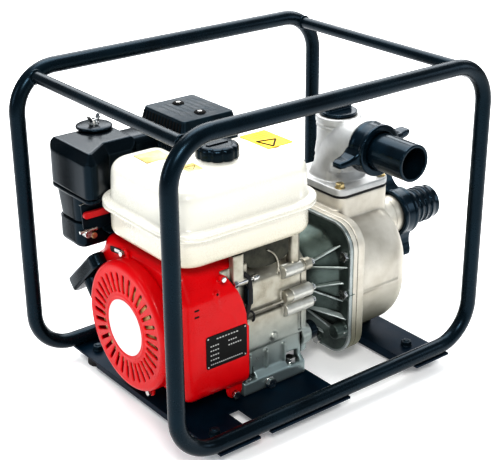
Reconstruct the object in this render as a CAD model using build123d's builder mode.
from build123d import *
from math import cos, sin, radians
import os

os.makedirs("parts", exist_ok=True)

# Portable engine-driven water pump in a tube frame.
# Frame of the model: +X from the recoil starter to the pump, -Y towards the side with the fan
# cover's label, +Z up, the floor at Z = 0. X and Y have their zero at the middle of the whole pump.
# Most sizes below are given from the middle of the cage (X, Y) and from the centreline of its
# bottom tubes (Z), which is what the three placing functions expect.

# ---------------------------------------------------------------- driving dimensions (mm)
CAGE_X = -39.0            # middle of the cage, left of the origin because the suction tail stands out
TUBE_Z = 30.0             # centreline of the bottom tubes above the floor
TUBE_R = 10.65            # half-inch pipe, 21.3 mm outside
TUBE_WALL = 2.3
LOOP_LENGTH = 500.0       # between tube centrelines
LOOP_HEIGHT = 402.0
LOOP_SPACING = 340.0
BEND_R = 57.0
BAR_R = 8.0
BAR_WALL = 1.5
BAR_X = 224.0
BAR_Z = LOOP_HEIGHT - 9.0
PLATE = 3.0
PLATE_TOP = -TUBE_R
PLATE_LOW = PLATE_TOP - PLATE
FLOOR = -TUBE_Z
FEET_LEFT = (-172.0, 138.0)
FEET_RIGHT = (176.0, 126.0)

CRANK_Z = 95.5            # crank axis, 106 mm above the engine's base
CARB_Y = 112.0            # carburettor axis, along the crank
CARB_Z = 184.0
CYL_X = -38.0             # middle of the cylinder along the crank
CYL_TILT = 25.0           # cylinder axis above the horizontal
BORE_R = 34.0
DECK = 118.0              # cylinder deck, from the crank axis along the bore
HEAD_TOP = 150.0
ROCKER_TOP = 173.0
CASE_LEFT = -88.0
CASE_RIGHT = 15.0
COVER_RIGHT = 33.0
MOUNT_X = 75.5            # the engine's four mounting bolts
MOUNT_Y = 162.0
MOUNT_CX = -40.0

THROW = 22.5              # crank throw, half the stroke
SHAFT_R = 10.0
JOURNAL_R = 12.5
GEAR_R = 16.0             # timing gears, as plain discs of their pitch circles
CAM_Y = 10.0              # camshaft, from the crank axis
CAM_Z = -46.9

FAN_LEFT = -188.0
FAN_RIGHT = -90.0
RECOIL_LEFT = -210.0
RECOIL_R = 88.0
ROPE_R = 55.0             # rope radius on the starter reel
GRIP_TILT = 47.0          # the rope guide leaves the recoil housing at this slope
GRIP_X = -197.0

TANK_SEAM = 250.0
TANK_TOP = 308.0
TANK_BOTTOM = 206.0

RING_LEFT = 79.0          # pump adaptor's ring flange
RING_FACE = 92.0          # joint face of adaptor and casing
PUMP_Z = 92.0             # middle of the pump casing
CASING_RIGHT = 198.0      # end wall inside the suction port's face
NECK_X = 152.0
NECK_TOP = 208.0
GASKET = 2.5
OUTLET_Z = 277.0
PORT_X = 150.0
PORT_TOP = 308.0
THREAD_R = 29.6           # two-inch parallel pipe thread
NUT_BORE = 30.0
TAIL_R = 25.5             # hose tails for two-inch hose
TAIL_BORE = 21.0
OUTLET_END = -148.0
SUCTION_Z = 129.0
SUCTION_END = 338.65

FIT = 0.05                # radial clearance of a running fit
GAP = 0.5                 # clear gap between bodies that only pass each other


# ---------------------------------------------------------------- planes
def level(z):
    """Horizontal plane at height z, zero at the middle of the cage."""
    return Plane(origin=(CAGE_X, 0, TUBE_Z + z), x_dir=(1, 0, 0), z_dir=(0, 0, 1))


def station(x):
    """Plane square to the crankshaft, facing the pump, zero on the crank axis: local x is Y."""
    return Plane(origin=(CAGE_X + x, 0, TUBE_Z + CRANK_Z), x_dir=(0, 1, 0), z_dir=(1, 0, 0))


def side(y):
    """Upright plane facing -Y: local x is X, local y is the height above the bottom tubes."""
    return Plane(origin=(CAGE_X, y, TUBE_Z), x_dir=(1, 0, 0), z_dir=(0, -1, 0))


def bore(d):
    """Plane square to the cylinder, d from the crank axis: local x is X, local y points down."""
    c = cos(radians(CYL_TILT))
    s = sin(radians(CYL_TILT))
    centre = (CAGE_X + CYL_X, d * c, TUBE_Z + CRANK_Z + d * s)
    return Plane(origin=centre, x_dir=(1, 0, 0), z_dir=(0, c, s))


BORE_AXIS = Axis(bore(0).origin, bore(0).z_dir)


def rod(plane, x, y, radius, length, mode=Mode.ADD):
    """Round bar from a plane, used wherever a boss, pin or hole is needed."""
    with BuildSketch(plane) as profile:
        with Locations((x, y)):
            Circle(radius)
    extrude(profile.sketch, amount=length, mode=mode)


def block(plane, x, y, width, height, depth, corner=0.0, mode=Mode.ADD):
    """Rectangular block from a plane, with rounded corners where corner is given."""
    with BuildSketch(plane) as profile:
        with Locations((x, y)):
            if corner > 0:
                RectangleRounded(width, height, corner)
            else:
                Rectangle(width, height)
    extrude(profile.sketch, amount=depth, mode=mode)


def hexagon(plane, x, y, across, length):
    """Hexagon head or nut, measured across its flats."""
    with BuildSketch(plane) as profile:
        with Locations((x, y)):
            RegularPolygon(across / 2, 6, major_radius=False)
    extrude(profile.sketch, amount=length)


def save(part, label):
    part.label = label
    export_step(part, f"parts/{label}.step")


# ---------------------------------------------------------------- tube frame
def frame_loop(y, hollow=True):
    half = LOOP_LENGTH / 2
    with BuildPart() as loop:
        with BuildLine(side(y)) as path:
            FilletPolyline(
                (-half, 0), (half, 0), (half, LOOP_HEIGHT), (-half, LOOP_HEIGHT),
                radius=BEND_R, close=True,
            )
        with BuildSketch(Plane(origin=path.line @ 0, z_dir=path.line % 0)):
            Circle(TUBE_R)
            if hollow:
                Circle(TUBE_R - TUBE_WALL, mode=Mode.SUBTRACT)
        sweep()
    return loop.part


save(frame_loop(-LOOP_SPACING / 2), "frame_loop_near")
save(frame_loop(LOOP_SPACING / 2), "frame_loop_far")

near_loop_filled = frame_loop(-LOOP_SPACING / 2, hollow=False)
far_loop_filled = frame_loop(LOOP_SPACING / 2, hollow=False)
with BuildPart() as top_crossbars:
    for x in (-BAR_X, BAR_X):
        rod(side(LOOP_SPACING / 2), x, BAR_Z, BAR_R, LOOP_SPACING)
    for x in (-BAR_X, BAR_X):
        rod(side(LOOP_SPACING / 2), x, BAR_Z, BAR_R - BAR_WALL, LOOP_SPACING, Mode.SUBTRACT)
    # the bar ends are coped to the bends of the loops
    add(near_loop_filled, mode=Mode.SUBTRACT)
    add(far_loop_filled, mode=Mode.SUBTRACT)
save(top_crossbars.part, "top_crossbars")

PLATE_LEFT = -193.0
PLATE_RIGHT = 21.0
NOTCH_LEFT = -130.0
NOTCH_RIGHT = -112.0
NOTCH_Y = 109.0
PLATE_Y = 178.0
with BuildPart() as engine_base_plate:
    with BuildSketch(level(PLATE_LOW)):
        with Locations(((PLATE_LEFT + PLATE_RIGHT) / 2, 0)):
            Rectangle(PLATE_RIGHT - PLATE_LEFT, 2 * PLATE_Y)
        for y in (-1, 1):
            with Locations(((NOTCH_LEFT + NOTCH_RIGHT) / 2, y * (PLATE_Y + NOTCH_Y) / 2)):
                Rectangle(NOTCH_RIGHT - NOTCH_LEFT, PLATE_Y - NOTCH_Y, mode=Mode.SUBTRACT)
        for y in (-FEET_LEFT[1], FEET_LEFT[1]):
            with Locations((FEET_LEFT[0], y)):
                Circle(4.3, mode=Mode.SUBTRACT)
        with Locations((MOUNT_CX, 0)):
            with GridLocations(MOUNT_X, MOUNT_Y, 2, 2):
                SlotOverall(16, 8.8, mode=Mode.SUBTRACT)
    extrude(amount=PLATE)
    for x in (PLATE_LEFT + PLATE / 2, PLATE_RIGHT - PLATE / 2):
        block(level(PLATE_LOW), x, 0, PLATE, 2 * NOTCH_Y, -6)
save(engine_base_plate.part, "engine_base_plate")

BAR_PLATE_X = 176.0
BAR_PLATE_W = 62.0
PUMP_FOOT_X = 168.0
PUMP_FOOT_Y = 28.0
with BuildPart() as pump_cross_bar:
    with BuildSketch(level(PLATE_LOW)):
        with Locations((BAR_PLATE_X, 0)):
            Rectangle(BAR_PLATE_W, 2 * PLATE_Y)
        for y in (-1, 1):
            with Locations((FEET_RIGHT[0], y * FEET_RIGHT[1]), (PUMP_FOOT_X, y * PUMP_FOOT_Y)):
                Circle(4.4, mode=Mode.SUBTRACT)
    extrude(amount=PLATE)
    for x in (-1, 1):
        flange_x = BAR_PLATE_X + x * (BAR_PLATE_W - PLATE) / 2
        block(level(PLATE_LOW), flange_x, 0, PLATE, 2 * PLATE_Y - 60, -10)
save(pump_cross_bar.part, "pump_cross_bar")

FOOT_H = PLATE_LOW - FLOOR
FOOT_SPOTS = [
    (FEET_LEFT[0], -FEET_LEFT[1]), (FEET_LEFT[0], FEET_LEFT[1]),
    (FEET_RIGHT[0], -FEET_RIGHT[1]), (FEET_RIGHT[0], FEET_RIGHT[1]),
]
with BuildPart() as rubber_feet:
    for x, y in FOOT_SPOTS:
        with BuildSketch(level(FLOOR)):
            with Locations((x, y)):
                Circle(16)
        extrude(amount=FOOT_H, taper=6)
    for x, y in FOOT_SPOTS:
        rod(level(FLOOR), x, y, 8.5, 7, Mode.SUBTRACT)
        rod(level(FLOOR), x, y, 4.3, FOOT_H, Mode.SUBTRACT)
save(rubber_feet.part, "rubber_feet")

with BuildPart() as foot_bolts:
    for x, y in FOOT_SPOTS:
        rod(level(FLOOR + 7), x, y, 4, PLATE_TOP + 9 - FLOOR - 7)
        hexagon(level(FLOOR + 2), x, y, 13, 5)
        rod(level(PLATE_TOP), x, y, 8, 1.5)
        hexagon(level(PLATE_TOP + 1.5), x, y, 13, 6)
save(foot_bolts.part, "foot_bolts")

# ---------------------------------------------------------------- engine block
COVER_BOLTS = [(-84, 148), (-87, 112), (-88, 94), (-60, 24), (80, 40), (-30, 170)]
BASE_Y = 93.0
BASE_TOP = 8.0
with BuildPart() as crankcase:
    low = PLATE_TOP - CRANK_Z
    ledge = BASE_TOP - CRANK_Z
    with BuildSketch(station(CASE_LEFT)):
        with BuildLine():
            Polyline(
                (-84, low), (84, low), (82, -20), (33, 78), (-52, 78), (-82, 52), (-84, low),
            )
        make_face()
    extrude(amount=CASE_RIGHT - CASE_LEFT)
    fillet(crankcase.edges().filter_by(Axis.X).sort_by(Axis.Z)[-1:-4:-1], 12)
    with BuildSketch(station(CASE_LEFT - 1.5)):
        with BuildLine():
            Polyline(
                (-BASE_Y, low), (BASE_Y, low), (BASE_Y, ledge), (76, ledge + 14),
                (-76, ledge + 14), (-BASE_Y, ledge), (-BASE_Y, low),
            )
        make_face()
    extrude(amount=CASE_RIGHT - CASE_LEFT + 1.5)
    # ribs on the near wall
    for z in (52.0, 84.0, 106.0):
        block(side(-82), (CASE_LEFT + CASE_RIGHT) / 2, z, CASE_RIGHT - CASE_LEFT, 3.5, 5)
    # bolt bosses along the joint with the cover
    for y, z in COVER_BOLTS:
        rod(station(CASE_RIGHT - 34), y, z - CRANK_Z, 8.5, 34)
    # cavity for the crank and oil, open towards the cover
    with BuildSketch(station(CASE_LEFT + 8)):
        with BuildLine():
            Polyline(
                (-75, low + 8), (74, low + 8), (73, -22), (28, 69), (-48, 69), (-73, 46),
                (-75, low + 8),
            )
        make_face()
    extrude(amount=CASE_RIGHT - CASE_LEFT, mode=Mode.SUBTRACT)
    # finned barrel
    rod(bore(58), 0, 0, 43, DECK - 58)
    for d in range(66, int(DECK) - 4, 10):
        block(bore(d), 0, 0, 104, 104, 3.5, 16)
    block(bore(DECK - 8), 0, 0, 92, 92, 8, 14)
    rod(bore(40), 0, 0, BORE_R, DECK, Mode.SUBTRACT)
    # main bearing in the left wall, with its boss
    rod(station(CASE_LEFT - 3), 0, 0, 34, 11)
    rod(station(CASE_LEFT + 8), 0, 0, 30, 6)
    rod(station(CASE_LEFT - 10), 0, 0, 20 + FIT, 30, Mode.SUBTRACT)
    # blind bore for the left end of the camshaft
    rod(station(CASE_LEFT + 3), CAM_Y, CAM_Z, 6 + FIT, 10, Mode.SUBTRACT)
    # holes through the base flange and the drain hole in the near wall
    with BuildSketch(level(PLATE_TOP)):
        with Locations((MOUNT_CX, 0)):
            with GridLocations(MOUNT_X, MOUNT_Y, 2, 2):
                Circle(4.4)
    extrude(amount=30, mode=Mode.SUBTRACT)
    with BuildSketch(level(BASE_TOP)):
        with Locations((MOUNT_CX, 0)):
            with GridLocations(MOUNT_X, MOUNT_Y + 4, 2, 2):
                RectangleRounded(22, 22, 4)
    extrude(amount=16, mode=Mode.SUBTRACT)
    rod(side(-BASE_Y), -47, -2, 5.1, -22, Mode.SUBTRACT)
save(crankcase.part, "crankcase")

with BuildPart() as mounting_bolts:
    for i in (-1, 1):
        for j in (-1, 1):
            x = MOUNT_CX + i * MOUNT_X / 2
            y = j * MOUNT_Y / 2
            rod(level(PLATE_LOW - 9), x, y, 4, BASE_TOP - PLATE_LOW + 9)
            rod(level(BASE_TOP), x, y, 8, 1.6)
            hexagon(level(BASE_TOP + 1.6), x, y, 13, 5.5)
            hexagon(level(PLATE_LOW - 7), x, y, 13, 7)
    for j in (-1, 1):
        y = j * PUMP_FOOT_Y
        rod(level(PLATE_LOW - 9), PUMP_FOOT_X, y, 4, 22)
        hexagon(level(PLATE_LOW - 7), PUMP_FOOT_X, y, 13, 7)
save(mounting_bolts.part, "mounting_bolts")

with BuildPart() as drain_plugs:
    hexagon(side(-BASE_Y), -47, -2, 13, 7)
    rod(side(-BASE_Y), -47, -2, 8, 1.5)
    rod(side(-BASE_Y + 14), -47, -2, 5, 14)
    hexagon(station(CASING_RIGHT + 6), 0, 14 - CRANK_Z, 17, 9)
    rod(station(CASING_RIGHT - 6), 0, 14 - CRANK_Z, 7, 12)
save(drain_plugs.part, "drain_plugs")

with BuildPart() as crankcase_cover:
    with BuildSketch(station(CASE_RIGHT)):
        with BuildLine():
            Polyline(
                (-84, ledge + 4), (84, ledge + 4), (82, -20), (33, 78), (-52, 78), (-82, 52),
                (-84, ledge + 4),
            )
        make_face()
    extrude(amount=10)
    fillet(crankcase_cover.edges().filter_by(Axis.X), 12)
    for y, z in COVER_BOLTS:
        rod(station(CASE_RIGHT), y, z - CRANK_Z, 8.5, 12)
    rod(station(CASE_RIGHT), 0, 0, 58, COVER_RIGHT - CASE_RIGHT)
    rod(station(CASE_RIGHT), 0, 0, JOURNAL_R + FIT, COVER_RIGHT - CASE_RIGHT, Mode.SUBTRACT)
    rod(station(CASE_RIGHT - 1), CAM_Y, CAM_Z, 6 + FIT, 9, Mode.SUBTRACT)
    # boss for the oil filler, at the near side
    rod(station(CASE_RIGHT), -74, 40 - CRANK_Z, 15, 16)
    rod(station(CASE_RIGHT), -74, 40 - CRANK_Z, 9.6, 16, Mode.SUBTRACT)
save(crankcase_cover.part, "crankcase_cover")

with BuildPart() as cylinder_head:
    block(bore(DECK), 0, 0, 92, 92, HEAD_TOP - DECK, 12)
    for d in (DECK + 6, DECK + 15):
        block(bore(d), 0, 0, 104, 104, 3, 16)
    rod(bore(DECK), 0, 0, 30, 5, Mode.SUBTRACT)
    # inlet port to the left, exhaust port upwards
    rod(station(CYL_X - 60), CARB_Y, CARB_Z - CRANK_Z, 13, 14, Mode.SUBTRACT)
    rod(station(CYL_X - 60), CARB_Y, CARB_Z - CRANK_Z, 9, 50, Mode.SUBTRACT)
    rod(Plane(bore(DECK + 16).origin, x_dir=(1, 0, 0), z_dir=-bore(0).y_dir).offset(15),
        14, 0, 12, 50, Mode.SUBTRACT)
    # spark plug hole beside the rocker cover
    rod(bore(HEAD_TOP - 22), -39, -8, 6.2, 30, Mode.SUBTRACT)
save(cylinder_head.part, "cylinder_head")

with BuildPart() as rocker_cover:
    block(bore(HEAD_TOP), 9, 4, 74, 76, 4, 14)
    block(bore(HEAD_TOP), 9, 4, 62, 64, ROCKER_TOP - HEAD_TOP, 12)
    fillet(rocker_cover.faces().sort_by(BORE_AXIS)[-1].edges(), 6)
    block(bore(HEAD_TOP - 0.01), 9, 4, 58, 60, ROCKER_TOP - HEAD_TOP - 2.5, 10, Mode.SUBTRACT)
save(rocker_cover.part, "rocker_cover")

with BuildPart() as spark_plug:
    rod(bore(HEAD_TOP - 16), -39, -8, 6, 16)
    hexagon(bore(HEAD_TOP), -39, -8, 20.8 - 3, 8)
    rod(bore(HEAD_TOP + 8), -39, -8, 5, 14)
save(spark_plug.part, "spark_plug")

with BuildPart() as spark_plug_cap:
    rod(bore(HEAD_TOP + 9), -39, -8, 10, 18)
    rod(bore(HEAD_TOP + 8.99), -39, -8, 5.2, 13.2, Mode.SUBTRACT)
    lead = Plane(bore(HEAD_TOP + 20).origin, x_dir=bore(0).y_dir, z_dir=(-1, 0, 0))
    rod(lead.offset(46), -8, 0, 7, 22)
save(spark_plug_cap.part, "spark_plug_cap")

# ---------------------------------------------------------------- crank train
def throw(x):
    """Plane square to the crankshaft, facing the pump, whose local y points along the cylinder."""
    c = cos(radians(CYL_TILT))
    s = sin(radians(CYL_TILT))
    return Plane(origin=(CAGE_X + x, 0, TUBE_Z + CRANK_Z), x_dir=(0, s, -c), z_dir=(1, 0, 0))


with BuildPart() as crankshaft:
    # threaded end, flywheel seat, left journal
    rod(station(-180), 0, 0, 7, 25)
    rod(station(-156), 0, 0, 11, 54)
    rod(station(-104), 0, 0, 20, 45)
    # webs with counterweights and the crank pin, at top dead centre
    for x in (CYL_X - 22, CYL_X + 10):
        with BuildSketch(throw(x)):
            Circle(40)
            with Locations((0, 36)):
                Rectangle(90, 30, mode=Mode.SUBTRACT)
            with Locations((0, THROW / 2)):
                Rectangle(34, 45)
        extrude(amount=12)
    rod(throw(CYL_X - 12), 0, THROW, 11, 24)
    # right journal, timing gear and the shaft that carries the impeller
    rod(station(CYL_X + 20), 0, 0, JOURNAL_R, COVER_RIGHT - CYL_X - 20)
    rod(station(CASE_RIGHT - 15), 0, 0, GEAR_R - GAP / 2, 10)
    rod(station(COVER_RIGHT - 1), 0, 0, SHAFT_R, 127 - COVER_RIGHT + 1)
save(crankshaft.part, "crankshaft")

with BuildPart() as camshaft:
    rod(station(CASE_LEFT + 4), CAM_Y, CAM_Z, 6, CASE_RIGHT - CASE_LEFT + 3)
    for x in (-77, -14):
        with BuildSketch(station(x)):
            with Locations((CAM_Y, CAM_Z)):
                Ellipse(12, 9)
        extrude(amount=9)
    rod(station(CASE_RIGHT - 14), CAM_Y, CAM_Z, 2 * GEAR_R - GAP / 2, 8)
save(camshaft.part, "camshaft")

with BuildPart() as piston:
    rod(bore(DECK - 32), 0, 0, BORE_R - FIT, 31)
    rod(bore(DECK - 33), 0, 0, BORE_R - 4, 26, Mode.SUBTRACT)
    for d in (DECK - 4, DECK - 8, DECK - 12):
        with BuildSketch(bore(d)):
            Circle(BORE_R)
            Circle(BORE_R - 1.6, mode=Mode.SUBTRACT)
        extrude(amount=1.6, mode=Mode.SUBTRACT)
    pin = Plane(bore(DECK - 22).origin, x_dir=bore(0).y_dir, z_dir=(1, 0, 0))
    rod(pin.offset(-BORE_R + 4), 0, 0, 8, 2 * BORE_R - 8)
save(piston.part, "piston")

FLY_R = 75.0
with BuildPart() as flywheel:
    rod(station(-140), 0, 0, FLY_R, 26)
    rod(station(-141), 0, 0, FLY_R - 14, 15, Mode.SUBTRACT)
    rod(station(-146), 0, 0, 24, 34)
    rod(station(-160), 0, 0, 11, 60, Mode.SUBTRACT)
    with BuildSketch(station(-115)):
        with PolarLocations(44, 6):
            Circle(7)
    extrude(amount=-30, mode=Mode.SUBTRACT)
save(flywheel.part, "flywheel")

with BuildPart() as cooling_fan:
    with BuildSketch(station(-144)):
        Circle(FLY_R - 1)
        Circle(26, mode=Mode.SUBTRACT)
    extrude(amount=4)
    with BuildSketch(station(-166)):
        with PolarLocations(58, 16):
            Rectangle(30, 2.4, rotation=28)
    extrude(amount=22)
save(cooling_fan.part, "cooling_fan")

with BuildPart() as starter_cup:
    rod(station(-178), 0, 0, 42, 30)
    rod(station(-179), 0, 0, 40, 28, Mode.SUBTRACT)
    rod(station(-152), 0, 0, 11.1, 10, Mode.SUBTRACT)
    rod(station(-156), 0, 0, 11.1, 6, Mode.SUBTRACT)
save(starter_cup.part, "starter_cup")

with BuildPart() as ignition_coil:
    block(station(-138), -10, FLY_R + 10, 44, 18, 22, 3)
save(ignition_coil.part, "ignition_coil")

# ---------------------------------------------------------------- fan cover and recoil starter
FAN_STEP = -160.0
FRONT_CORNERS = ((76, 100), (90, 74), (116, 54), (132, -4))
REAR_CORNERS = ((40, 100), (64, 70), (96, 14))


def fan_outline(inset, corners):
    """Fan cover seen along the crank; the far upper corners are lower beside the carburettor."""
    with BuildSketch(Plane.XY) as outline:
        with BuildLine():
            Polyline((-106, -81), (-106, 62), (-84, 100), *corners, (84, -81), (-106, -81))
        make_face()
        fillet(outline.vertices(), 20)
        offset(amount=-inset)
    return outline.sketch


def fan_cover_body(inset):
    """Solid shape of the fan cover, or of the space inside it, rounded at its recoil end."""
    front = fan_outline(inset, FRONT_CORNERS)
    rear = fan_outline(inset, REAR_CORNERS)
    with BuildPart() as body:
        with BuildSketch(station(FAN_LEFT + inset)):
            add(front)
        extrude(amount=FAN_STEP - FAN_LEFT - 2 * inset)
        fillet(body.faces().sort_by(Axis.X)[0].edges(), 14 - inset)
        with BuildSketch(station(FAN_STEP - 2 * inset)):
            add(rear)
        extrude(amount=FAN_RIGHT - FAN_STEP + 3 * inset)
    return body.part


fan_cover_solid = fan_cover_body(0)
fan_cover_space = fan_cover_body(3)
with BuildPart() as fan_cover:
    add(fan_cover_solid)
    add(fan_cover_space, mode=Mode.SUBTRACT)
    rod(station(FAN_LEFT - 1), 0, 0, 70, 10, Mode.SUBTRACT)
    # fixing lug at the foot of the near side, and one at the top right
    rod(side(-93), -108, -1 + 12, 13, 4)
    rod(side(-93), -108, 4, 4.3, 10, Mode.SUBTRACT)
save(fan_cover.part, "fan_cover")

RECOIL_LUGS = (-15, 75, 165, 255)
with BuildPart() as recoil_space:
    rod(station(RECOIL_LEFT + 3), 0, 0, RECOIL_R - 3, 40)
    fillet(recoil_space.faces().sort_by(Axis.X)[0].edges(), 5)

with BuildPart() as recoil_housing:
    rod(station(RECOIL_LEFT), 0, 0, RECOIL_R, FAN_LEFT - RECOIL_LEFT)
    fillet(recoil_housing.faces().sort_by(Axis.X)[0].edges(), 8)
    add(recoil_space.part, mode=Mode.SUBTRACT)
    with BuildSketch(station(RECOIL_LEFT)):
        with PolarLocations(61, 32):
            SlotOverall(26, 4.5)
    extrude(amount=5, mode=Mode.SUBTRACT)
    for angle in RECOIL_LUGS:
        y = (RECOIL_R + 4) * cos(radians(angle))
        z = (RECOIL_R + 4) * sin(radians(angle))
        rod(station(FAN_LEFT - 4), y, z, 8, 4)
    add(recoil_space.part, mode=Mode.SUBTRACT)
    rod(station(RECOIL_LEFT + 2), 0, 0, 9, 20)
save(recoil_housing.part, "recoil_housing")

with BuildPart() as recoil_badge:
    rod(station(RECOIL_LEFT - 1.2), 0, 0, 38, 1.2)
save(recoil_badge.part, "recoil_badge")

with BuildPart() as starter_reel:
    rod(station(RECOIL_LEFT + 5), 0, 0, ROPE_R + 6, 15)
    with BuildSketch(station(RECOIL_LEFT + 8)):
        Circle(ROPE_R + 10)
        Circle(ROPE_R - 4, mode=Mode.SUBTRACT)
    extrude(amount=9, mode=Mode.SUBTRACT)
    rod(station(RECOIL_LEFT), 0, 0, 9 + FIT, 40, Mode.SUBTRACT)
save(starter_reel.part, "starter_reel")


def pull(t):
    """Plane square to the rope guide, t along it from the point nearest the crank axis."""
    c = cos(radians(GRIP_TILT))
    s = sin(radians(GRIP_TILT))
    y = ROPE_R * s + t * c
    z = -ROPE_R * c + t * s
    return Plane(origin=(CAGE_X + GRIP_X, y, TUBE_Z + CRANK_Z + z), x_dir=(1, 0, 0), z_dir=(0, c, s))


GUIDE_START = 58.0
GUIDE_END = 89.0
with BuildPart() as rope_guide:
    rod(pull(GUIDE_START), 0, 0, 11, GUIDE_END - GUIDE_START)
    rod(pull(GUIDE_START - 1), 0, 0, 5, 60, Mode.SUBTRACT)
    rod(station(RECOIL_LEFT - 5), 0, 0, RECOIL_R, 60, Mode.SUBTRACT)
    block(station(FAN_LEFT - 0.2), 80, 0, 160, 160, 30, 0, Mode.SUBTRACT)
save(rope_guide.part, "rope_guide")

GRIP_HALF = 47.0
with BuildPart() as starter_grip:
    bar = pull(GUIDE_END + GAP)
    with BuildSketch(bar):
        RectangleRounded(24, 2 * GRIP_HALF, 11.5)
    extrude(amount=20)
    fillet(starter_grip.edges().filter_by(GeomType.LINE), 3)
    rod(bar.offset(-1), 0, 0, 4, 14, Mode.SUBTRACT)
save(starter_grip.part, "starter_grip")

with BuildPart() as starter_rope:
    rod(pull(GUIDE_END + 0.2), 0, 0, 2.2, 6)
    rod(pull(GUIDE_END + 6), 0, 0, 4, 7.4)
save(starter_rope.part, "starter_rope")

# ---------------------------------------------------------------- fuel tank
TANK_LEFT = -208.0
TANK_RIGHT = 30.0
TANK_NEAR = -122.0
TANK_FAR = 76.0
TANK_CUT = (-92.0, 40.0)
TANK_INSET = 10.0
TANK_CORNER = 46.0


def tank_outline(inset):
    """Tank seen from above: a rounded rectangle with its far right corner cut for the muffler."""
    with BuildSketch(Plane.XY) as outline:
        left = TANK_LEFT + inset
        right = TANK_RIGHT - inset
        near = TANK_NEAR + inset
        far = TANK_FAR - inset
        cut_x = TANK_CUT[0] - inset
        cut_y = TANK_CUT[1] - inset
        with BuildLine():
            Polyline(
                (left, near), (right, near), (right, cut_y), (cut_x, cut_y), (cut_x, far),
                (left, far), (left, near),
            )
        make_face()
        fillet(outline.vertices().sort_by_distance((cut_x, cut_y, 0))[0], 6)
        for corner in ((cut_x, far), (right, cut_y)):
            fillet(outline.vertices().sort_by_distance((*corner, 0))[0], 17)
        for corner in ((left, near), (right, near), (left, far)):
            fillet(outline.vertices().sort_by_distance((*corner, 0))[0], TANK_CORNER - inset)
    return outline.sketch


def tank_body(wall):
    """Solid shape of the tank, or of the space inside it."""
    outline = tank_outline(TANK_INSET + wall)
    with BuildPart() as body:
        with BuildSketch(level(TANK_BOTTOM + wall)):
            add(outline)
        extrude(amount=TANK_TOP - TANK_BOTTOM - 2 * wall)
        fillet(body.faces().sort_by(Axis.Z)[-1].edges(), 10 - wall)
        fillet(body.faces().sort_by(Axis.Z)[0].edges(), 10 - wall)
    return body.part


tank_solid = tank_body(0)
tank_space = tank_body(2)
tank_seam = tank_outline(0)
CAP_X = -83.0
CAP_Y = -33.0
with BuildPart() as fuel_tank:
    add(tank_solid)
    with BuildSketch(level(TANK_SEAM - 4)):
        add(tank_seam)
    extrude(amount=8)
    rod(level(TANK_TOP - 4), CAP_X, CAP_Y, 22, 10)
    add(tank_space, mode=Mode.SUBTRACT)
    rod(level(TANK_TOP - 10), CAP_X, CAP_Y, 19, 30, Mode.SUBTRACT)
save(fuel_tank.part, "fuel_tank")

with BuildPart() as fuel_cap:
    with BuildSketch(level(TANK_TOP + 1)) as lobes:
        with Locations((CAP_X, CAP_Y)):
            Circle(28)
        with Locations((CAP_X, CAP_Y)):
            with PolarLocations(29.5, 8, start_angle=22.5):
                Circle(5, mode=Mode.SUBTRACT)
    extrude(amount=18)
    fillet(fuel_cap.faces().sort_by(Axis.Z)[-1].edges(), 2.5)
    rod(level(TANK_TOP), CAP_X, CAP_Y, 22 + GAP, 7, Mode.SUBTRACT)
    rod(level(TANK_TOP - 4), CAP_X, CAP_Y, 18, 14)
save(fuel_cap.part, "fuel_cap")

# ---------------------------------------------------------------- intake side
AIR_LEFT = -218.0
AIR_RIGHT = -120.0
AIR_NEAR = 58.0
AIR_FAR = 163.0
AIR_STEP_Y = 83.0
AIR_TOP = 312.0
AIR_SPLIT = 252.0
STUD_X = -150.0
STUD_Y = 150.0


def air_outline(inset):
    """Air cleaner seen from above; its near right corner is cut back to clear the tank."""
    with BuildSketch(Plane.XY) as outline:
        with BuildLine():
            Polyline(
                (AIR_LEFT, AIR_NEAR), (-203, AIR_NEAR), (-170, AIR_STEP_Y), (AIR_RIGHT, AIR_STEP_Y),
                (AIR_RIGHT, AIR_FAR), (AIR_LEFT, AIR_FAR), (AIR_LEFT, AIR_NEAR),
            )
        make_face()
        fillet(outline.vertices().sort_by_distance((-203, AIR_NEAR, 0))[0], 10)
        fillet(outline.vertices().sort_by_distance((AIR_LEFT, AIR_NEAR, 0))[0], 10)
        for corner in ((AIR_LEFT, AIR_FAR), (AIR_RIGHT, AIR_FAR), (AIR_RIGHT, AIR_STEP_Y)):
            fillet(outline.vertices().sort_by_distance((*corner, 0))[0], 18)
        if inset > 0:
            offset(amount=-inset)
    return outline.sketch


air_outer = air_outline(0)
air_inner = air_outline(3)
air_element = air_outline(9)
with BuildPart() as air_cleaner_cover:
    with BuildSketch(level(AIR_SPLIT)):
        add(air_outer)
    extrude(amount=AIR_TOP - AIR_SPLIT)
    fillet(air_cleaner_cover.faces().sort_by(Axis.Z)[-1].edges(), 6)
    with BuildSketch(level(AIR_SPLIT)):
        add(air_inner)
    extrude(amount=AIR_TOP - AIR_SPLIT - 4, mode=Mode.SUBTRACT)
    rod(level(AIR_SPLIT), STUD_X, STUD_Y, 3.6, 80, Mode.SUBTRACT)
save(air_cleaner_cover.part, "air_cleaner_cover")

NECK_OF_BASE = 208.0
with BuildPart() as air_cleaner_base:
    with BuildSketch(level(AIR_SPLIT - 6)):
        add(air_outer)
    extrude(amount=6 - GAP)
    with BuildSketch(level(AIR_SPLIT - 6)):
        with Locations((-169, 124)):
            RectangleRounded(90, 72, 20)
    with BuildSketch(level(NECK_OF_BASE)):
        with Locations((-182, 122)):
            RectangleRounded(60, 58, 16)
    loft()
    rod(level(AIR_SPLIT - 1), STUD_X, STUD_Y, 3, AIR_TOP + 14 - AIR_SPLIT + 1)
save(air_cleaner_base.part, "air_cleaner_base")

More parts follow.
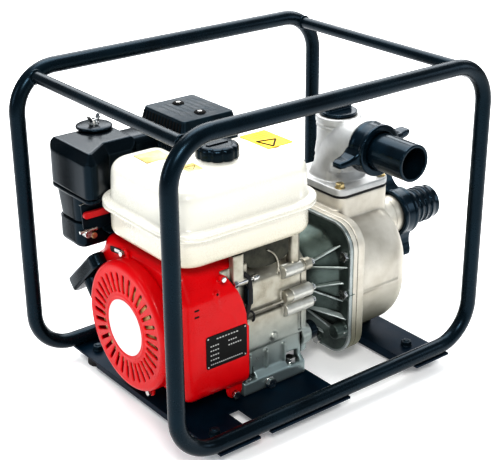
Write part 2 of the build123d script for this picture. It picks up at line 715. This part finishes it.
with BuildPart() as air_filter_element:
    with BuildSketch(level(AIR_SPLIT - GAP)):
        add(air_element)
    extrude(amount=46)
    block(level(AIR_SPLIT - GAP), -172, 122, 56, 46, 46, 12, Mode.SUBTRACT)
    rod(level(AIR_SPLIT - GAP), STUD_X, STUD_Y, 5, 50, Mode.SUBTRACT)
save(air_filter_element.part, "air_filter_element")

with BuildPart() as wing_nut:
    rod(level(AIR_TOP + GAP), STUD_X, STUD_Y, 25, 3)
    rod(level(AIR_TOP + GAP + 3), STUD_X, STUD_Y, 7, 8)
    for sign in (-1, 1):
        block(level(AIR_TOP + 6), STUD_X + sign * 11, STUD_Y, 12, 2.5, 14, 1)
    rod(level(AIR_TOP), STUD_X, STUD_Y, 3 + FIT, 30, Mode.SUBTRACT)
save(wing_nut.part, "wing_nut")

with BuildPart() as intake_elbow:
    block(level(171), -184, 122, 60, 58, NECK_OF_BASE - 171, 14)
    fillet(intake_elbow.faces().sort_by(Axis.Z)[0].edges(), 9)
    rod(station(-156), CARB_Y, CARB_Z - CRANK_Z, 13, 8)
save(intake_elbow.part, "intake_elbow")

CHOKE_X = -140.0
CHOKE_Z = 206.0
VALVE_X = -122.0
VALVE_Z = 160.0
with BuildPart() as carburettor:
    rod(station(-148), CARB_Y, CARB_Z - CRANK_Z, 14, 44)
    block(station(-104), CARB_Y, CARB_Z - CRANK_Z, 50, 28, 5, 6)
    rod(station(-99), CARB_Y, CARB_Z - CRANK_Z, 13, CYL_X - 46 + 99)
    rod(level(148), -124, CARB_Y, 18, 30)
    rod(level(143), -124, CARB_Y, 6, 6)
    block(level(CARB_Z), CHOKE_X, CARB_Y - 6, 14, 24, CHOKE_Z - CARB_Z + 6, 3)
save(carburettor.part, "carburettor")

with BuildPart() as control_bracket:
    block(level(195.5), -170, 79, 28, 22, 2.5, 3)
    block(side(86), -170, 218, 28, 45, 2.5, 3)
    rod(side(84), -164, 228, 4, 10)
save(control_bracket.part, "control_bracket")

with BuildPart() as throttle_lever:
    with BuildSketch(side(80)):
        with Locations((-164, 228)):
            Circle(8)
        with Locations((-188, 226)):
            SlotOverall(56, 9)
    extrude(amount=5)
    rod(side(81), -164, 228, 4 + FIT, 12, Mode.SUBTRACT)
save(throttle_lever.part, "throttle_lever")

with BuildPart() as choke_lever:
    with BuildSketch(side(87)):
        with Locations((CHOKE_X, CHOKE_Z)):
            Circle(7)
        with Locations((CHOKE_X - 33, CHOKE_Z)):
            SlotOverall(66, 7)
    extrude(amount=-3)
    rod(side(94 - GAP), CHOKE_X, CHOKE_Z, 3, 8)
save(choke_lever.part, "choke_lever")

with BuildPart() as fuel_valve_lever:
    with BuildSketch(side(94 - GAP)):
        with Locations((VALVE_X, VALVE_Z)):
            Circle(7)
        with Locations((VALVE_X - 14, VALVE_Z)):
            SlotOverall(32, 6)
    extrude(amount=5)
save(fuel_valve_lever.part, "fuel_valve_lever")

# ---------------------------------------------------------------- exhaust
UP = -bore(0).y_dir
with BuildPart() as muffler:
    block(level(238), -33, 98, 66, 80, 58, 14)
    fillet(muffler.faces().sort_by(Axis.Z)[-1].edges(), 5)
    rod(Plane(bore(DECK + 16).origin, x_dir=(1, 0, 0), z_dir=UP).offset(52 + 6), 14, 0, 14, 44)
    block(Plane(bore(DECK + 16).origin, x_dir=(1, 0, 0), z_dir=UP).offset(52), 14, 0, 50, 28, 6, 6)
    for y in (72, 122):
        rod(level(290), -33, y, 6, 36.5)
    rod(station(-5), 98, 262 - CRANK_Z, 9, 22)
    # the box and its tail pipe are hollow
    block(level(241), -33, 98, 60, 74, 52, 11, Mode.SUBTRACT)
    rod(station(-20), 98, 262 - CRANK_Z, 7.5, 40, Mode.SUBTRACT)
save(muffler.part, "muffler")

with BuildPart() as muffler_guard:
    with BuildSketch(level(262)):
        with Locations((-33, 98)):
            RectangleRounded(94, 106, 8)
    extrude(amount=44)
    with BuildSketch(level(306)):
        with Locations((-33, 98)):
            RectangleRounded(94, 106, 8)
    with BuildSketch(level(329)):
        with Locations((-33, 98)):
            RectangleRounded(82, 94, 6)
    loft()
    with BuildSketch(level(262)):
        with Locations((-33, 98)):
            RectangleRounded(90, 102, 6)
    extrude(amount=44, mode=Mode.SUBTRACT)
    with BuildSketch(level(306)):
        with Locations((-33, 98)):
            RectangleRounded(90, 102, 6)
    with BuildSketch(level(327)):
        with Locations((-33, 98)):
            RectangleRounded(78, 90, 4)
    loft(mode=Mode.SUBTRACT)
    for y in range(56, 144, 6):
        block(station(-90), y, 300 - CRANK_Z, 2.6, 32, 14, 0, Mode.SUBTRACT)
    for y in (72, 122):
        rod(level(325), -33, y, 2.6, 10, Mode.SUBTRACT)
    # way out for the tail pipe
    rod(station(5), 98, 262 - CRANK_Z, 10, 20, Mode.SUBTRACT)
save(muffler_guard.part, "muffler_guard")

# ---------------------------------------------------------------- small engine parts
with BuildPart() as oil_filler_cap:
    rod(station(CASE_RIGHT + 16 + GAP), -74, 40 - CRANK_Z, 13, 11)
    rod(station(CASE_RIGHT + 3), -74, 40 - CRANK_Z, 9.6 - 0.3, 15)
    block(station(CASE_RIGHT + 27), -74, 40 - CRANK_Z, 20, 5, 5, 2)
save(oil_filler_cap.part, "oil_filler_cap")

with BuildPart() as engine_bolts:
    for y, z in COVER_BOLTS:
        hexagon(station(CASE_RIGHT + 12), y, z - CRANK_Z, 10, 6)
    for angle in RECOIL_LUGS:
        y = (RECOIL_R + 6) * cos(radians(angle))
        z = (RECOIL_R + 6) * sin(radians(angle))
        hexagon(station(FAN_LEFT - 4), y, z, 8, -5)
    hexagon(side(-97), -108, 4, 10, 5)
    for y in (72, 122):
        rod(level(329), -33, y, 5, 2.5)
save(engine_bolts.part, "engine_bolts")

# ---------------------------------------------------------------- pump
RING_W = 218.0
RING_H = 196.0
RING_CORNER = 36.0
PUMP_Y = PUMP_Z - CRANK_Z


RING_BOLTS = [
    (-100, 56), (-101, 0), (-100, -56), (-48, -90), (48, -90), (100, -56), (101, 0), (100, 56),
]
with BuildPart() as pump_adaptor:
    block(station(COVER_RIGHT), 0, 0, 120, 120, 8, 24)
    with BuildSketch(station(COVER_RIGHT + 8)):
        Circle(56)
    with BuildSketch(station(RING_FACE - 8)):
        with Locations((0, PUMP_Y)):
            RectangleRounded(RING_W - 34, RING_H - 34, 50)
    loft()
    block(station(RING_LEFT), 0, PUMP_Y, RING_W, RING_H, RING_FACE - RING_LEFT, RING_CORNER)
    with BuildSketch(station(COVER_RIGHT - 1)):
        Circle(44)
    with BuildSketch(station(RING_FACE - 10)):
        with Locations((0, PUMP_Y)):
            RectangleRounded(RING_W - 46, RING_H - 46, 46)
    loft(mode=Mode.SUBTRACT)
    rod(station(COVER_RIGHT - 1), 0, 0, 14, 80, Mode.SUBTRACT)
save(pump_adaptor.part, "pump_adaptor")

CASING_L = RING_FACE + 0.5
with BuildPart() as casing_space:
    with BuildSketch(station(CASING_L - 1)):
        with Locations((0, PUMP_Y)):
            RectangleRounded(RING_W - 26, RING_H - 26, 70)
    extrude(amount=CASING_RIGHT - CASING_L)
    fillet(casing_space.faces().sort_by(Axis.X)[-1].edges(), 26)

with BuildPart() as pump_casing:
    with BuildSketch(station(CASING_L)):
        with Locations((0, PUMP_Y)):
            RectangleRounded(RING_W - 10, RING_H - 10, 80)
    extrude(amount=CASING_RIGHT + 6 - CASING_L)
    fillet(pump_casing.faces().sort_by(Axis.X)[-1].edges(), 32)
    block(station(CASING_L), 0, PUMP_Y, RING_W, RING_H, 13, RING_CORNER)
    # box neck under the outlet
    block(level(150), NECK_X, 0, 94, 114, NECK_TOP - 150, 14)
    # bosses of the suction port and the drain
    rod(station(CASING_RIGHT - 30), 0, SUCTION_Z - CRANK_Z, 44, 36)
    rod(station(CASING_RIGHT - 30), 0, 14 - CRANK_Z, 13, 36)
    # feet on the cross bar
    for y in (-PUMP_FOOT_Y, PUMP_FOOT_Y):
        block(level(PLATE_TOP), PUMP_FOOT_X, y, 44, 26, 30, 5)
    add(casing_space.part, mode=Mode.SUBTRACT)
    block(level(150), NECK_X, 0, 74, 90, 80, 12, Mode.SUBTRACT)
    # suction port in the end wall
    rod(station(CASING_RIGHT - 12), 0, SUCTION_Z - CRANK_Z, 27, 60, Mode.SUBTRACT)
    rod(station(CASING_RIGHT - 35), 0, 14 - CRANK_Z, 7, 60, Mode.SUBTRACT)
    for y in (-PUMP_FOOT_Y, PUMP_FOOT_Y):
        rod(level(PLATE_TOP), PUMP_FOOT_X, y, 4.2, 14, Mode.SUBTRACT)
save(pump_casing.part, "pump_casing")

with BuildPart() as pump_bolts:
    for y, z in RING_BOLTS:
        hexagon(station(RING_LEFT), y, z + PUMP_Y, 13, -7)
save(pump_bolts.part, "pump_bolts")

with BuildPart() as shaft_seal:
    rod(station(RING_FACE - 1), 0, 0, 13.8, 12)
    rod(station(RING_FACE - 2), 0, 0, SHAFT_R + FIT, 30, Mode.SUBTRACT)
save(shaft_seal.part, "shaft_seal")

IMPELLER_R = 58.0
with BuildPart() as impeller:
    rod(station(106), 0, 0, IMPELLER_R, 4)
    rod(station(104), 0, 0, 17, 18)
    with BuildSketch(station(109)):
        with PolarLocations(37, 5):
            Rectangle(44, 4, rotation=35)
    extrude(amount=12)
    with BuildSketch(station(100)):
        Circle(IMPELLER_R + 20)
        Circle(IMPELLER_R, mode=Mode.SUBTRACT)
    extrude(amount=40, mode=Mode.SUBTRACT)
    rod(station(100), 0, 0, SHAFT_R, 27, Mode.SUBTRACT)
save(impeller.part, "impeller")

with BuildPart() as volute:
    rod(station(RING_FACE), 0, 0, 76, 46)
    rod(station(RING_FACE - 1), 0, 0, 64, 42, Mode.SUBTRACT)
    rod(station(RING_FACE), 0, 0, 24, 60, Mode.SUBTRACT)
    block(level(CRANK_Z + 50), 115, 30, 30, 40, 60, 4, Mode.SUBTRACT)
save(volute.part, "volute")

with BuildPart() as discharge_gasket:
    block(level(NECK_TOP), NECK_X, 0, 94, 114, GASKET, 14)
    block(level(NECK_TOP), NECK_X, 0, 74, 90, GASKET, 12, Mode.SUBTRACT)
save(discharge_gasket.part, "discharge_gasket")

ELBOW_LOW = NECK_TOP + GASKET
NUT_START = -62.0
with BuildPart() as discharge_elbow:
    block(level(ELBOW_LOW), NECK_X, 0, 94, 114, 10, 14)
    with BuildSketch(level(ELBOW_LOW + 9)):
        with Locations((NECK_X, 0)):
            RectangleRounded(84, 92, 30)
    with BuildSketch(level(246)):
        with Locations((PORT_X, 0)):
            Circle(30)
    loft()
    rod(level(246), PORT_X, 0, 29, PORT_TOP - 246)
    rod(level(PORT_TOP - 9), PORT_X, 0, 30.5, 9)
    rod(side(0), PORT_X, OUTLET_Z, 30, 46)
    rod(side(-46), PORT_X, OUTLET_Z, THREAD_R, 20)
    rod(level(ELBOW_LOW), PORT_X, 0, 23.5, 120, Mode.SUBTRACT)
    rod(side(0), PORT_X, OUTLET_Z, 23, 90, Mode.SUBTRACT)
save(discharge_elbow.part, "discharge_elbow")

with BuildPart() as priming_cap:
    rod(level(PORT_TOP + GAP), PORT_X, 0, 26, 5)
    rod(level(PORT_TOP - 12), PORT_X, 0, 23, 14)
    block(level(PORT_TOP + 4), PORT_X, 0, 44, 9, 12, 4)
    rod(level(PORT_TOP - 13), PORT_X, 0, 18, 10, Mode.SUBTRACT)
save(priming_cap.part, "priming_cap")


def hose_nut(plane, length, wing_angle):
    """Coupling nut with two wings; the plane stands at its open end and faces the hose."""
    with BuildPart() as nut:
        rod(plane, 0, 0, 39, length)
        fillet(nut.edges().filter_by(GeomType.CIRCLE), 3)
        for sign in (-1, 1):
            x = sign * 46 * cos(radians(wing_angle))
            y = sign * 46 * sin(radians(wing_angle))
            with BuildSketch(plane.offset(length * 0.35)):
                with Locations(Location((x, y, 0), wing_angle)):
                    RectangleRounded(26, 12, 4)
            extrude(amount=length * 0.5)
        rod(plane.offset(-1), 0, 0, NUT_BORE, length - 4, Mode.SUBTRACT)
        rod(plane.offset(-1), 0, 0, TAIL_R + GAP, length + 10, Mode.SUBTRACT)
    return nut.part


def hose_tail(plane, length, collar_length, ridges):
    """Hose tail with a collar held by the nut; the plane stands on the collar's sealing face."""
    with BuildPart() as tail:
        rod(plane, 0, 0, NUT_BORE - GAP, collar_length)
        rod(plane, 0, 0, TAIL_R - 0.8, length)
        rod(plane.offset(TAIL_ROOT), 0, 0, TAIL_R, length - TAIL_ROOT)
        for i in range(ridges):
            with BuildSketch(plane.offset(length - 8 - 11 * i)):
                Circle(TAIL_R)
            extrude(amount=-8, taper=-14)
        rod(plane, 0, 0, TAIL_BORE, length, Mode.SUBTRACT)
    return tail.part


NUT_LENGTH = 36.0
TAIL_ROOT = 21.0          # thinner neck inside the nut
COLLAR = 14.0


def outlet(y):
    """Plane square to the outlet, facing the discharge hose."""
    return Plane(origin=(CAGE_X + PORT_X, y, TUBE_Z + OUTLET_Z), x_dir=(1, 0, 0), z_dir=(0, -1, 0))


def inlet(x):
    """Plane square to the suction port, facing the suction hose."""
    return Plane(origin=(CAGE_X + x, 0, TUBE_Z + SUCTION_Z), x_dir=(0, 1, 0), z_dir=(1, 0, 0))


OUTLET_SEAL = -66.0
SUCTION_SEAL = 266.0
save(hose_nut(outlet(OUTLET_SEAL + 16), NUT_LENGTH, 10), "discharge_nut")
save(hose_tail(outlet(OUTLET_SEAL - GAP), OUTLET_SEAL - GAP - OUTLET_END, COLLAR, 0), "discharge_tail")
save(hose_nut(inlet(SUCTION_SEAL - 16), NUT_LENGTH, 66), "suction_nut")
save(hose_tail(inlet(SUCTION_SEAL + GAP), SUCTION_END - SUCTION_SEAL - GAP, COLLAR, 4), "suction_tail")

with BuildPart() as suction_flange:
    block(inlet(CASING_RIGHT + 6), 0, 0, 84, 84, 10, 20)
    rod(inlet(CASING_RIGHT + 16), 0, 0, 31, 30)
    rod(inlet(CASING_RIGHT + 46), 0, 0, THREAD_R, SUCTION_SEAL - CASING_RIGHT - 46)
    rod(inlet(CASING_RIGHT), 0, 0, 23, 90, Mode.SUBTRACT)
save(suction_flange.part, "suction_flange")

FLAP_HINGE = 34.0
with BuildPart() as check_valve_flap:
    rod(inlet(CASING_RIGHT - 6 - GAP), 0, 0, 29, -4)
    block(inlet(CASING_RIGHT - 6 - GAP), 0, FLAP_HINGE - 6, 30, 12, -4)
    rod(side(15), CASING_RIGHT - 8 - GAP, SUCTION_Z + FLAP_HINGE, 2, 30)
save(check_valve_flap.part, "check_valve_flap")
